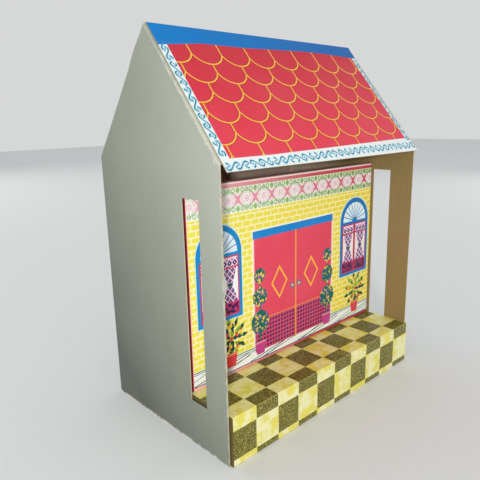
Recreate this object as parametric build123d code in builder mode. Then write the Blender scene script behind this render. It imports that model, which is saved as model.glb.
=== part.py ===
from build123d import *
import math
import os

# Small house of folded card: two gable walls and a back wall folded from one sheet,
# a folded roof with a printed sheet on its front slope, and inside the open front a
# printed facade board that stands on a low plinth covered with checked paper.
# Millimetres, +Z up, the open front towards -Y. The origin is on the ground, in the
# middle of the footprint.

# Card and paper
card = 1.0                   # thickness of the folded board
paper = 0.25                 # thickness of a printed sheet
ink = 0.1                    # thickness of a field of colour on a sheet
fold_radius = 1.5            # outside radius where the board is folded upright
slope_fold_radius = 0.8      # outside radius of the fold along a gable's slope
glue = 0.05                  # layer between the roof and the flaps under it

# House
house_width = 304.0          # over the two gable walls
house_depth = 193.0          # from the walls' front edges to the back
eave_height = 273.0          # ground to the foot of the gable slopes
gable_height = 391.5         # ground to the tip of the gables
flap_width = 14.0            # glue flap folded in under the roof
slot_width = 23.5            # tall window slot cut in each gable wall
slot_front = 29.5            # walls' front edges to the slot
slot_bottom = 46.0
slot_top = 242.5

# Roof
roof_width = 298.0           # a little narrower than the walls
eave_overhang = 7.5          # measured down the slope, at the front
back_overhang = 3.0          # measured down the slope, at the back
spring_length = 62.0         # stretch below the ridge where the back slope springs out
spring_height = 3.6          # how far it springs out
ridge_band = 21.0            # blue band along the ridge
border_side = 9.5            # white border beside the tiles
border_eave = 15.0           # white border above the eave
edge_hollow = 4.0            # how far the right edge is trimmed hollow, half way up
tile_pitch = 36.1            # across the roof
tile_row = 22.3              # from one row of tiles to the next
tile_dip = 12.0              # depth of a tile's round edge
tile_rows = 5
tile_line = 1.6              # width of the outline
tile_facets = 7              # straight runs that make a tile's round edge
first_joint = 31.5           # sheet's left edge to the top row's first upright joint
first_tip = 45.5             # ridge to the tips of the top row

# Plinth
plinth_length = 300.0
plinth_depth = 90.0
plinth_height = 50.0
plinth_reach = 3.4           # how far it stands out in front of the walls
plinth_round = 1.2           # softness of its folded edges
cover_paper = 0.3            # thickness of the checked sheet
cover_lift = 0.4             # ground to the sheet's lower edge
cover_edge = 0.8             # raw edge that stands past the plinth's right end
check = 30.0                 # side of one check
check_gap = 0.7              # pale joint between two checks
first_row = 6.5              # ground to the first joint between rows

# Facade
facade_width = 297.0
facade_height = 200.0
facade_thickness = 15.0
facade_set_back = 59.5       # plinth's front to the facade's front
facade_gap = 0.5             # facade's right end to the right wall
facade_round = 1.2           # softness of its covered edges
drawing_centre = 150.0       # facade's left edge to the middle of the drawing
top_band = 5.5               # bare red band above the drawing
foot_band = 3.5              # bare red band below it
step_top = 19.4              # foot of the brickwork
step_line = 3.4              # coloured band along the step's top
frieze_height = 25.0
frieze_edge = 6.5            # leafy strip above and below the middle of the frieze
leaf_width = 4.4             # leaf in a strip, over each star
rosette_pitch = 24.0
rosette_radius = 7.2
star_width = 11.0            # four-armed star between two rosettes
star_waist = 4.0
star_notch = 2.6             # depth of the notches above and below it
first_rosette = 4.0          # facade's left edge to the first rosette
brick_length = 11.7
brick_height = 6.1
mortar = 1.7

# Windows in the drawing
window_width = 58.0
window_foot = 62.0
window_spring = 131.0        # height where the arch starts
window_offset = 112.0        # middle of the drawing to the middle of a window
frame_line = 3.6
halo = 1.2                   # pale line left round windows and door
fan_bar = 3.2                # blue bar under the fanlight
hub_radius = 4.6
fan_rim = 2.0                # blue left round the fanlight's pane
fan_panes = 10               # spread round the hub, a spoke between each two
sash_line = 2.0
casements = 2
head_panel = 9.4             # patterned strip at the top of a casement
foot_panel = 11.0            # dark strip at its foot
panel_gap = 1.6              # line left round the strips and the pane
curtain_top = 18.0           # width where the curtain hangs from
curtain_bottom = 20.4
curtain_waist = 7.0
curtain_tie = 3.0            # height of the band round its waist

# Door in the drawing
door_width = 131.6
door_foot = 12.5
door_top = 138.0
lintel_height = 8.2
lintel_reach = 0.8           # lintel's overhang at each side of the door
door_strip = 1.8             # upright line between the leaves
grille_top = 47.7
grille_rows = 7
grille_pitch = 4.65
grille_dot = 2.9
grille_margin = 5.0          # door's edge to the first dot
fine_line = 0.9
diamond_offset = 27.0        # middle of the door to the middle of a leaf's diamond
diamond_middle = 84.0        # facade's foot to the diamonds' middles
diamond_width = 26.0
diamond_height = 38.0
diamond_share = 0.82         # inner corners of its line, as a share of the outer
knob_radius = 3.6
knob_offset = 5.6            # middle of the door to the knobs
knob_height = 75.0

# Potted plants in the drawing: a clipped tree each side of the door, a bush per window
pot_foot = 9.0               # facade's foot to the pots
pot_height = 15.0
pot_width = 17.0
pot_base = 11.0
stem_width = 2.2
tree_offset = 57.5           # middle of the drawing to a tree
tree_crowns = [(46.0, 14.0), (74.0, 11.0), (98.0, 8.5)]    # heights and radii of its balls
crown_sides = 9
bush_offsets = (-100.0, 116.0)               # middle of the drawing to the bushes
bush_middle = 40.0
bush_rings = [(5.5, 5), (12.0, 9), (18.0, 11)]             # radii and counts of leaves
bush_leaf = (11.0, 5.2)                      # length and width of one leaf
blossom_rings = [(0.0, 1), (8.5, 3), (14.5, 5)]            # the same for its blossoms
blossom_radius = 2.6
blossom_turn = 20.0          # degrees the rings of blossoms are turned

os.makedirs("parts", exist_ok=True)

# Places worked out from the sizes above
slope_run = house_depth / 2
slope_rise = gable_height - eave_height
slope_length = math.hypot(slope_run, slope_rise)
run_share = slope_run / slope_length
rise_share = slope_rise / slope_length
front_reach = eave_overhang * run_share + (card + glue + paper + 2 * ink) * rise_share
back_reach = back_overhang * run_share + (card + glue) * rise_share
front_y = -(house_depth + back_reach - front_reach) / 2
back_y = front_y + house_depth
ridge_y = front_y + slope_run
half_width = house_width / 2
inner_half = half_width - card


def slope_point(side, down, out):
    """Point on a gable's slope: side -1 is the front; out is measured off the slope."""
    y = ridge_y + side * (down * run_share + out * rise_share)
    z = gable_height - down * rise_share + out * run_share
    return (y, z)


def save(piece, name):
    """Label a finished piece and write its file."""
    piece.part.label = name
    export_step(piece.part, f"parts/{name}.step")


# House walls: one sheet folded round three sides, then flaps folded in at the slopes
flap_foot = slope_length - card
ridge_inside = gable_height - card * slope_length / slope_run

with BuildPart() as house_walls:
    with BuildSketch():
        with BuildLine():
            FilletPolyline(
                (-half_width, front_y),
                (-half_width, back_y),
                (half_width, back_y),
                (half_width, front_y),
                radius=fold_radius,
            )
            offset(amount=card, side=Side.RIGHT)
        make_face()
    extrude(amount=gable_height)
    with BuildSketch(Plane.YZ):
        with BuildLine():
            Polyline(
                (front_y, 0),
                (front_y, eave_height),
                (ridge_y, gable_height),
                (back_y, eave_height),
                (back_y, 0),
                close=True,
            )
        make_face()
    extrude(amount=half_width, both=True, mode=Mode.INTERSECT)
    with BuildSketch(Plane.YZ):
        with Locations((front_y + slot_front, slot_bottom)):
            Rectangle(slot_width, slot_top - slot_bottom, align=(Align.MIN, Align.MIN))
    extrude(amount=half_width, both=True, mode=Mode.SUBTRACT)
    for end in (-1, 1):
        with BuildSketch(Plane.YZ.offset(end * inner_half)):
            with BuildLine():
                Polyline(
                    slope_point(-1, flap_foot, 0),
                    (ridge_y, gable_height),
                    slope_point(1, flap_foot, 0),
                    slope_point(1, flap_foot, -card),
                    (ridge_y, ridge_inside),
                    slope_point(-1, flap_foot, -card),
                    close=True,
                )
            make_face()
        extrude(amount=-end * flap_width)
    folds = house_walls.edges().filter_by(
        lambda e: half_width - abs(e.center().X) < card / 10
        and e.center().Z > eave_height
        and e.length > slope_length / 2
    )
    fillet(folds, radius=slope_fold_radius)
save(house_walls, "house_walls")

# The printed sheet on the front slope is laid out from its lower left corner, up the
# slope.
sheet_length = slope_length + eave_overhang
tile_field_width = roof_width - 2 * border_side
tile_field_length = sheet_length - border_eave - ridge_band


def roof_plane(height):
    """Plane parallel to the front slope, height above the roof card."""
    y, z = slope_point(-1, sheet_length, glue + card + height)
    normal = (0, -rise_share, run_share)
    return Plane(origin=(-roof_width / 2, y, z), x_dir=(1, 0, 0), z_dir=normal)


def row_start(row):
    """Across position of a row's first upright joint, one pitch early to fill the edge."""
    shift = tile_pitch / 2 if row % 2 else 0
    return first_joint - tile_pitch - shift


def tip_height(row):
    """Up-slope position of the tips of a row of tiles."""
    return sheet_length - first_tip - row * tile_row


low_corner = (Align.MIN, Align.MIN)
tile_columns = math.ceil(roof_width / tile_pitch) + 2

# Sliver trimmed off the right edge of the front slope
hollow_middle = (roof_width - edge_hollow, sheet_length / 2)

with BuildSketch() as sliver:
    with BuildLine():
        ThreePointArc((roof_width, 0), hollow_middle, (roof_width, sheet_length))
        Line((roof_width, sheet_length), (roof_width, 0))
    make_face()

# Roof card: folded at the ridge, its back slope springing out below the fold
roof_inside = (ridge_y, gable_height + glue * slope_length / slope_run)
spring_middle = slope_point(1, spring_length * 0.42, glue + spring_height)
spring_end = slope_point(1, spring_length, glue)

with BuildPart() as roof_card:
    with BuildSketch(Plane.YZ):
        with BuildLine():
            Line(slope_point(-1, slope_length + eave_overhang, glue), roof_inside)
            ThreePointArc(roof_inside, spring_middle, spring_end)
            Line(spring_end, slope_point(1, slope_length + back_overhang, glue))
            offset(amount=card, side=Side.LEFT)
        make_face()
    extrude(amount=roof_width / 2, both=True)
    with BuildSketch(roof_plane(-card)):
        add(sliver.sketch)
    extrude(amount=card, mode=Mode.SUBTRACT)
save(roof_card, "roof_card")

with BuildPart() as roof_sheet:
    with BuildSketch(roof_plane(0)):
        Rectangle(roof_width, sheet_length, align=low_corner)
        add(sliver.sketch, mode=Mode.SUBTRACT)
    extrude(amount=paper)
save(roof_sheet, "roof_sheet")

with BuildPart() as roof_ridge_band:
    with BuildSketch(roof_plane(paper)):
        with Locations((0, sheet_length - ridge_band)):
            Rectangle(roof_width, ridge_band, align=low_corner)
        add(sliver.sketch, mode=Mode.SUBTRACT)
    extrude(amount=ink)
save(roof_ridge_band, "roof_ridge_band")

with BuildPart() as roof_tile_field:
    with BuildSketch(roof_plane(paper)):
        with Locations((border_side, border_eave)):
            Rectangle(tile_field_width, tile_field_length, align=low_corner)
    extrude(amount=ink)
save(roof_tile_field, "roof_tile_field")

# One tile's round lower edge, an arc drawn in short straight runs
tile_radius = (tile_pitch**2 / 4 + tile_dip**2) / (2 * tile_dip)
tile_turn = math.asin(tile_pitch / 2 / tile_radius)
tile_rise = tile_radius - tile_dip


def edge_points(inset):
    """Points along a tile's lower edge, from left to right."""
    turns = [tile_turn * (2 * n / tile_facets - 1) for n in range(tile_facets + 1)]
    radius = tile_radius + tile_line / 2 - inset
    return [(radius * math.sin(turn), tile_rise - radius * math.cos(turn)) for turn in turns]


with BuildSketch() as tile_edge:
    with BuildLine():
        Polyline(*edge_points(0), *reversed(edge_points(tile_line)), close=True)
    make_face()

with BuildPart() as roof_tile_lines:
    with BuildSketch(roof_plane(paper + ink)):
        for row in range(tile_rows + 1):
            foot = tip_height(row) + tile_dip if row < tile_rows else border_eave
            head = tip_height(row - 1) if row else sheet_length - ridge_band
            joints = [row_start(row) + column * tile_pitch for column in range(tile_columns)]
            with Locations(*[(x, foot) for x in joints]):
                Rectangle(tile_line, head - foot, align=(Align.CENTER, Align.MIN))
            if row < tile_rows:
                with Locations(*[(x + tile_pitch / 2, foot) for x in joints]):
                    add(tile_edge.sketch)
        with Locations((border_side, border_eave)):
            Rectangle(tile_field_width, tile_field_length, align=low_corner, mode=Mode.INTERSECT)
    extrude(amount=ink)
save(roof_tile_lines, "roof_tile_lines")

# Plinth box, and the checked sheet folded over its front, top, back and ends
plinth_front = front_y - plinth_reach
plinth_right = plinth_length / 2



def plinth_section(inset):
    """Section of the plinth, inset from its front, top and back."""
    with BuildSketch() as section:
        with Locations((plinth_front + inset, 0)):
            Rectangle(plinth_depth - 2 * inset, plinth_height - inset, align=low_corner)
        fillet(section.vertices().sort_by(Axis.Y)[-2:], radius=plinth_round - inset)
    return section.sketch


with BuildPart() as plinth_box:
    with BuildSketch(Plane.YZ):
        add(plinth_section(cover_paper))
    extrude(amount=plinth_right - cover_paper, both=True)
save(plinth_box, "plinth_box")

with BuildPart() as plinth_cover:
    with BuildSketch(Plane.YZ):
        add(plinth_section(0))
    extrude(amount=plinth_right, both=True)
    add(plinth_box.part, mode=Mode.SUBTRACT)
    with BuildSketch(Plane.YZ.offset(plinth_right)):
        add(plinth_section(0))
        add(plinth_section(cover_paper), mode=Mode.SUBTRACT)
    extrude(amount=cover_edge)
    with BuildSketch():
        with Locations((0, plinth_front)):
            Rectangle(house_width, plinth_depth, align=(Align.CENTER, Align.MIN))
    extrude(amount=cover_lift, mode=Mode.SUBTRACT)
save(plinth_cover, "plinth_cover")


def check_row(row):
    """A row of dark checks in section: front and top stretches, the fold in one of them."""
    low = first_row + (row - 1) * check + check_gap / 2 if row else cover_lift
    high = min(first_row + row * check - check_gap / 2, plinth_height + plinth_depth - plinth_round)
    skin = 2 * ink
    with BuildSketch() as stretches:
        if low < plinth_height:
            with Locations((plinth_front - skin, low)):
                Rectangle(2 * skin, min(high, plinth_height + skin) - low, align=low_corner)
        if high > plinth_height:
            start = max(low - plinth_height, -skin)
            with Locations((plinth_front + start, plinth_height - skin)):
                Rectangle(high - plinth_height - start, 2 * skin, align=low_corner)
    return stretches.sketch


def check_section(rows):
    """Section of the dark checks of these rows, a skin on the plinth's front and top."""
    with BuildSketch() as rows_wanted:
        for row in rows:
            add(check_row(row))
    with BuildSketch() as section:
        add(plinth_section(-ink))
        add(plinth_section(0), mode=Mode.SUBTRACT)
        add(rows_wanted.sketch, mode=Mode.INTERSECT)
    return section.sketch


check_columns = round(plinth_length / check)
check_rows = math.ceil((plinth_height + plinth_depth - first_row) / check) + 1
check_sections = [check_section(range(1 - odd, check_rows, 2)) for odd in (0, 1)]

with BuildPart() as plinth_dark_checks:
    for column in range(check_columns):
        left = column * check - plinth_length / 2 + check_gap / 2
        with BuildSketch(Plane.YZ.offset(left)):
            add(check_sections[column % 2])
        extrude(amount=check - check_gap)
save(plinth_dark_checks, "plinth_dark_checks")

# Facade board, standing on the plinth
facade_left = inner_half - facade_gap - facade_width
facade_front = plinth_front + facade_set_back
facade_foot = plinth_height + ink

with BuildPart() as facade_board:
    with BuildSketch(Plane.XY.offset(facade_foot)):
        with Locations((facade_left, facade_front)):
            Rectangle(facade_width, facade_thickness, align=low_corner)
    extrude(amount=facade_height)
    fillet(facade_board.edges().filter_by(Axis.Y, reverse=True), radius=facade_round)
save(facade_board, "facade_board")

# Printed sheet on the facade. Its drawing is laid out from the board's lower left
# corner.
sheet_top = facade_height - top_band
frieze_foot = sheet_top - frieze_height
window_places = [(drawing_centre - window_offset, 0), (drawing_centre + window_offset, 0)]
door_height = door_top - door_foot


def facade_plane(height):
    """Plane parallel to the facade, height in front of the board."""
    corner = (facade_left, facade_front - height, facade_foot)
    return Plane(origin=corner, x_dir=(1, 0, 0), z_dir=(0, -1, 0))


def window_outline(grow):
    """A window's arched outline, grown all round."""
    with BuildSketch() as outline:
        with Locations((0, window_foot - grow)):
            width = window_width + 2 * grow
            Rectangle(width, window_spring - window_foot + grow, align=(Align.CENTER, Align.MIN))
        with Locations((0, window_spring)):
            Circle(window_width / 2 + grow)
    return outline.sketch


with BuildPart() as facade_sheet:
    with BuildSketch(facade_plane(0)):
        with Locations((facade_round, foot_band)):
            Rectangle(facade_width - 2 * facade_round, sheet_top - foot_band, align=low_corner)
    extrude(amount=paper)
save(facade_sheet, "facade_sheet")

# Brickwork in running bond, left clear round the windows and the door
brick_rows = math.ceil((frieze_foot - step_top) / brick_height)
brick_columns = math.ceil(facade_width / brick_length) + 1
brick_places = [
    ((column - row % 2 / 2) * brick_length, step_top + row * brick_height + mortar / 2)
    for row in range(brick_rows)
    for column in range(brick_columns)
]

with BuildPart() as facade_bricks:
    with BuildSketch(facade_plane(paper)):
        with Locations(*brick_places):
            Rectangle(brick_length - mortar, brick_height - mortar, align=low_corner)
        with Locations((facade_round, step_top)):
            width = facade_width - 2 * facade_round
            Rectangle(width, frieze_foot - step_top - mortar / 2, align=low_corner, mode=Mode.INTERSECT)
        with Locations(*window_places):
            add(window_outline(halo), mode=Mode.SUBTRACT)
        with Locations((drawing_centre, 0)):
            width = door_width + 2 * (lintel_reach + halo)
            height = door_top + lintel_height + halo
            Rectangle(width, height, align=(Align.CENTER, Align.MIN), mode=Mode.SUBTRACT)
    extrude(amount=ink)
save(facade_bricks, "facade_bricks")

# Frieze over the brickwork: a ground, and on it leaves, stars and rosettes
field_width = facade_width - 2 * facade_round
rosette_count = math.ceil((facade_width - first_rosette) / rosette_pitch)
frieze_middle = frieze_foot + frieze_height / 2
star_half = frieze_height / 2 - frieze_edge - fine_line
rosette_places = [(first_rosette + n * rosette_pitch, frieze_middle) for n in range(rosette_count)]
star_places = [(x + rosette_pitch / 2, y) for x, y in rosette_places]
leaf_places = [
    (x, frieze_middle + side * (frieze_height - frieze_edge) / 2)
    for x, _ in star_places
    for side in (-1, 1)
]

with BuildPart() as facade_frieze:
    with BuildSketch(facade_plane(paper)):
        with Locations((facade_round, frieze_foot)):
            Rectangle(field_width, frieze_height, align=low_corner)
    extrude(amount=ink)
save(facade_frieze, "facade_frieze")

with BuildPart() as facade_frieze_edges:
    with BuildSketch(facade_plane(paper + ink)):
        with Locations(*leaf_places):
            Polygon(
                (-leaf_width / 2, 0),
                (0, frieze_edge / 2),
                (leaf_width / 2, 0),
                (0, -frieze_edge / 2),
                align=None,
            )
        with Locations((facade_round, frieze_foot)):
            Rectangle(field_width, frieze_height, align=low_corner, mode=Mode.INTERSECT)
    extrude(amount=ink)
save(facade_frieze_edges, "facade_frieze_edges")

with BuildPart() as facade_frieze_stars:
    with BuildSketch(facade_plane(paper + ink)):
        with Locations(*star_places):
            Polygon(
                (-star_width / 2, -star_half),
                (0, star_notch - star_half),
                (star_width / 2, -star_half),
                (star_waist / 2, 0),
                (star_width / 2, star_half),
                (0, star_half - star_notch),
                (-star_width / 2, star_half),
                (-star_waist / 2, 0),
                align=None,
            )
        with Locations((facade_round, frieze_foot)):
            Rectangle(field_width, frieze_height, align=low_corner, mode=Mode.INTERSECT)
    extrude(amount=ink)
save(facade_frieze_stars, "facade_frieze_stars")

with BuildPart() as facade_rosettes:
    with BuildSketch(facade_plane(paper + ink)):
        with Locations(*rosette_places):
            RegularPolygon(rosette_radius - fine_line, 6)
            RegularPolygon(rosette_radius - 2 * fine_line, 6, mode=Mode.SUBTRACT)
            RegularPolygon(rosette_radius / 2, 6)
        with Locations((facade_round, frieze_foot)):
            Rectangle(field_width, frieze_height, align=low_corner, mode=Mode.INTERSECT)
    extrude(amount=ink)
save(facade_rosettes, "facade_rosettes")

# Windows: arched frames, and in each a fanlight above a pair of casements
fan_radius = window_width / 2 - frame_line - fan_rim
casement_width = (window_width - 2 * frame_line) / casements
casement_foot = window_foot + frame_line
casement_head = window_spring - fan_bar
panel_width = casement_width - 2 * sash_line
foot_panel_foot = casement_foot + panel_gap
glass_foot = foot_panel_foot + foot_panel + panel_gap
head_panel_foot = casement_head - panel_gap - head_panel
glass_head = head_panel_foot - panel_gap
glass_middle = (glass_foot + glass_head) / 2
casement_middles = [
    window_x + (column - (casements - 1) / 2) * casement_width
    for window_x, _ in window_places
    for column in range(casements)
]

with BuildPart() as facade_window_frames:
    with BuildSketch(facade_plane(paper)):
        with Locations(*window_places):
            add(window_outline(0))
    extrude(amount=ink)
save(facade_window_frames, "facade_window_frames")

with BuildSketch() as fanlight:
    Circle(fan_radius)
    Rectangle(2 * fan_radius, fan_radius, align=(Align.CENTER, Align.MAX), mode=Mode.SUBTRACT)
    Circle(hub_radius, mode=Mode.SUBTRACT)
    for spoke in range(1, fan_panes):
        turn = 180 * spoke / fan_panes
        spoke_align = (Align.MIN, Align.CENTER)
        Rectangle(fan_radius, fine_line, rotation=turn, align=spoke_align, mode=Mode.SUBTRACT)

with BuildPart() as facade_window_panes:
    with BuildSketch(facade_plane(paper + ink)):
        with Locations(*[(x, window_spring) for x, _ in window_places]):
            add(fanlight.sketch)
        with Locations(*[(x, glass_foot) for x in casement_middles]):
            Rectangle(panel_width, glass_head - glass_foot, align=(Align.CENTER, Align.MIN))
    extrude(amount=ink)
save(facade_window_panes, "facade_window_panes")

with BuildPart() as facade_window_sashes:
    with BuildSketch(facade_plane(paper + ink)):
        with Locations(*[(x, casement_foot) for x, _ in window_places]):
            width = casements * casement_width
            Rectangle(width, casement_head - casement_foot, align=(Align.CENTER, Align.MIN))
        with Locations(*[(x, glass_foot) for x in casement_middles]):
            height = glass_head - glass_foot
            Rectangle(panel_width, height, align=(Align.CENTER, Align.MIN), mode=Mode.SUBTRACT)
    extrude(amount=ink)
save(facade_window_sashes, "facade_window_sashes")

with BuildPart() as facade_curtains:
    with BuildSketch(facade_plane(paper + 2 * ink)):
        with Locations(*[(x, glass_middle) for x in casement_middles]):
            Polygon(
                (-curtain_bottom / 2, glass_foot - glass_middle),
                (-curtain_waist / 2, -curtain_tie / 2),
                (-curtain_waist / 2, curtain_tie / 2),
                (-curtain_top / 2, glass_head - glass_middle),
                (curtain_top / 2, glass_head - glass_middle),
                (curtain_waist / 2, curtain_tie / 2),
                (curtain_waist / 2, -curtain_tie / 2),
                (curtain_bottom / 2, glass_foot - glass_middle),
                align=None,
            )
    extrude(amount=ink)
save(facade_curtains, "facade_curtains")

with BuildPart() as facade_window_foot_panels:
    with BuildSketch(facade_plane(paper + 2 * ink)):
        with Locations(*[(x, foot_panel_foot) for x in casement_middles]):
            Rectangle(panel_width, foot_panel, align=(Align.CENTER, Align.MIN))
    extrude(amount=ink)
save(facade_window_foot_panels, "facade_window_foot_panels")

with BuildPart() as facade_window_head_panels:
    with BuildSketch(facade_plane(paper + 2 * ink)):
        with Locations(*[(x, head_panel_foot) for x in casement_middles]):
            Rectangle(panel_width, head_panel, align=(Align.CENTER, Align.MIN))
    extrude(amount=ink)
save(facade_window_head_panels, "facade_window_head_panels")

# Door: lintel, leaves, the line between them, and a dotted grille across their foot
grille_columns = round((door_width - 2 * grille_margin) / grille_pitch) + 1
grille_left = drawing_centre - (grille_columns - 1) / 2 * grille_pitch
grille_places = [
    (grille_left + column * grille_pitch, door_foot + (row + 0.75) * grille_pitch)
    for row in range(grille_rows)
    for column in range(row % 2, grille_columns, 2)
]

with BuildPart() as facade_lintel:
    with BuildSketch(facade_plane(paper)):
        with Locations((drawing_centre, door_top)):
            Rectangle(door_width + 2 * lintel_reach, lintel_height, align=(Align.CENTER, Align.MIN))
    extrude(amount=ink)
save(facade_lintel, "facade_lintel")

with BuildPart() as facade_door:
    with BuildSketch(facade_plane(paper)):
        with Locations((drawing_centre, door_foot)):
            Rectangle(door_width, door_height, align=(Align.CENTER, Align.MIN))
    extrude(amount=ink)
save(facade_door, "facade_door")

with BuildPart() as facade_door_trim:
    with BuildSketch(facade_plane(paper + ink)):
        with Locations((drawing_centre, door_foot)):
            Rectangle(door_strip, door_height, align=(Align.CENTER, Align.MIN))
        with Locations((drawing_centre, grille_top)):
            Rectangle(door_width, fine_line, align=(Align.CENTER, Align.MIN))
    extrude(amount=ink)
save(facade_door_trim, "facade_door_trim")

with BuildPart() as facade_door_grille:
    with BuildSketch(facade_plane(paper + ink)):
        with Locations(*grille_places):
            Rectangle(grille_dot, grille_dot)
        with Locations((drawing_centre, door_foot)):
            Rectangle(door_strip, door_height, align=(Align.CENTER, Align.MIN), mode=Mode.SUBTRACT)
    extrude(amount=ink)
save(facade_door_grille, "facade_door_grille")

leaf_sides = (-1, 1)

with BuildSketch() as diamond:
    for share, mode in ((1, Mode.ADD), (diamond_share, Mode.SUBTRACT)):
        Polygon(
            (-diamond_width / 2 * share, 0),
            (0, diamond_height / 2 * share),
            (diamond_width / 2 * share, 0),
            (0, -diamond_height / 2 * share),
            align=None,
            mode=mode,
        )

with BuildPart() as facade_door_panels:
    with BuildSketch(facade_plane(paper + ink)):
        for side in leaf_sides:
            with Locations((drawing_centre + side * diamond_offset, diamond_middle)):
                add(diamond.sketch)
            with Locations((drawing_centre + side * knob_offset, knob_height)):
                RegularPolygon(knob_radius, 8)
    extrude(amount=ink)
save(facade_door_panels, "facade_door_panels")

# Potted plants: pots, over them stems with clipped crowns or sprays of leaves, and blossoms
tree_places = [drawing_centre + side * tree_offset for side in leaf_sides]
bush_places = [drawing_centre + offset for offset in bush_offsets]
plant_places = tree_places + bush_places
pot_top = pot_foot + pot_height
tree_top = tree_crowns[-1][0]

with BuildPart() as facade_pots:
    with BuildSketch(facade_plane(paper + 2 * ink)):
        with Locations(*[(x, pot_foot) for x in plant_places]):
            Polygon(
                (-pot_base / 2, 0),
                (pot_base / 2, 0),
                (pot_width / 2, pot_height),
                (-pot_width / 2, pot_height),
                align=None,
            )
    extrude(amount=ink)
save(facade_pots, "facade_pots")

with BuildPart() as facade_leaves:
    with BuildSketch(facade_plane(paper + 2 * ink)):
        for places, top in ((tree_places, tree_top), (bush_places, bush_middle)):
            with Locations(*[(x, pot_top) for x in places]):
                Rectangle(stem_width, top - pot_top, align=(Align.CENTER, Align.MIN))
        for height, radius in tree_crowns:
            with Locations(*[(x, height) for x in tree_places]):
                RegularPolygon(radius, crown_sides)
        for radius, count in bush_rings:
            with Locations(*[(x, bush_middle) for x in bush_places]):
                with PolarLocations(radius, count):
                    length, width = bush_leaf
                    Polygon(
                        (-length / 2, 0),
                        (0, width / 2),
                        (length / 2, 0),
                        (0, -width / 2),
                        align=None,
                    )
        with Locations((0, pot_top)):
            Rectangle(facade_width, facade_height, align=low_corner, mode=Mode.INTERSECT)
    extrude(amount=ink)
save(facade_leaves, "facade_leaves")

with BuildPart() as facade_blossoms:
    with BuildSketch(facade_plane(paper + 3 * ink)):
        for radius, count in blossom_rings:
            with Locations(*[(x, bush_middle) for x in bush_places]):
                with PolarLocations(radius, count, start_angle=blossom_turn):
                    RegularPolygon(blossom_radius, 6)
    extrude(amount=ink)
save(facade_blossoms, "facade_blossoms")

# Lines of the step that runs across under the brickwork
with BuildPart() as facade_step_lines:
    with BuildSketch(facade_plane(paper)):
        with Locations((facade_round, step_top - step_line)):
            Rectangle(field_width, step_line, align=low_corner)
        with Locations((facade_round, foot_band)):
            Rectangle(field_width, fine_line, align=low_corner)
        with Locations((drawing_centre, door_foot)):
            Rectangle(door_width, door_height, align=(Align.CENTER, Align.MIN), mode=Mode.SUBTRACT)
    extrude(amount=ink)
save(facade_step_lines, "facade_step_lines")
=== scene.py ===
# %% [markdown]
# This lesson dresses a small house of folded card. The walls are grey board, brown on
# the inside, folded round three sides and glued to a folded roof. Glossy printed
# sheets cover the front slope of the roof and the facade board inside the open front,
# and a checked adhesive sheet covers the plinth. Every piece is already modelled as a
# solid, so the work here is finishes: print, gloss, wear and creases.

import math

import bmesh
import bpy
from mathutils import Matrix, Vector


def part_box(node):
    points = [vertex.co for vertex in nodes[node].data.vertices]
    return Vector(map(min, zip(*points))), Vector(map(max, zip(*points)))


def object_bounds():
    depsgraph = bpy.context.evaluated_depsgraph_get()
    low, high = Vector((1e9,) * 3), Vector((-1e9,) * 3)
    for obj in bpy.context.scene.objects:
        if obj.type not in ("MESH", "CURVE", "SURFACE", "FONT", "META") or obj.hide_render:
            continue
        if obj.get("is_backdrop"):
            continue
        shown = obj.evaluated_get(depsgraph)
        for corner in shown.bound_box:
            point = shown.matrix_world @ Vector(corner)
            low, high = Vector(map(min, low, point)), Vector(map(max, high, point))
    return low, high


MM = 1000.0                  # millimetres in a metre

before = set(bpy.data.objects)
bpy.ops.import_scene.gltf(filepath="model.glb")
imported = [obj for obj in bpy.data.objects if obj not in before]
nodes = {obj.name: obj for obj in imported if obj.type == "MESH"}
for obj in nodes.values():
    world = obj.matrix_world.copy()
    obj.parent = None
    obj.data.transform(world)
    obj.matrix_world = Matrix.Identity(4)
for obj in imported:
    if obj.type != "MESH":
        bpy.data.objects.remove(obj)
solid_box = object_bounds()
print("solids", len(nodes), "box", [[round(c, 4) for c in corner] for corner in solid_box])

# %% [markdown]
# A photograph of a box-shaped thing fixes its own camera: the edges that run back meet
# at vanishing points. The place, turn and lens below were solved that way. Blender's
# camera looks along its own -Z, so its matrix is built from the right, up and back
# directions.

# %% Camera
CAMERA_PLACE = Vector((-0.4115, -0.3981, 0.3080))
CAMERA_YAW = math.radians(-42.65)
CAMERA_PITCH = math.radians(-13.45)
CAMERA_ROLL = math.radians(-1.40)
CAMERA_LENS = 37.82
CAMERA_SENSOR = 36.0

ahead = Vector((
    -math.sin(CAMERA_YAW) * math.cos(CAMERA_PITCH),
    math.cos(CAMERA_YAW) * math.cos(CAMERA_PITCH),
    math.sin(CAMERA_PITCH),
))
level = Vector((math.cos(CAMERA_YAW), math.sin(CAMERA_YAW), 0))
upright = level.cross(ahead)
right = level * math.cos(CAMERA_ROLL) + upright * math.sin(CAMERA_ROLL)
up = upright * math.cos(CAMERA_ROLL) - level * math.sin(CAMERA_ROLL)

camera_data = bpy.data.cameras.new("camera")
camera_data.lens = CAMERA_LENS
camera_data.sensor_width = CAMERA_SENSOR
camera_data.clip_start = 0.01
camera = bpy.data.objects.new("camera", camera_data)
turn = Matrix((right, up, -ahead)).transposed().to_4x4()
camera.matrix_world = Matrix.Translation(CAMERA_PLACE) @ turn
bpy.context.scene.collection.objects.link(camera)
bpy.context.scene.camera = camera
print("camera", [round(c, 4) for c in camera.location], "lens", CAMERA_LENS)

# %% [markdown]
# A listed colour is in sRGB, and a shader wants it linear. This helper turns
# the one into the other, so every colour below is written as it looks.


# %% Colours as they look
def colour(red, green, blue):
    """Linear colour from the 0 to 255 values seen on a screen."""
    shares = [c / 255 for c in (red, green, blue)]
    return tuple(c / 12.92 if c <= 0.04045 else ((c + 0.055) / 1.055) ** 2.4 for c in shares)


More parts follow.
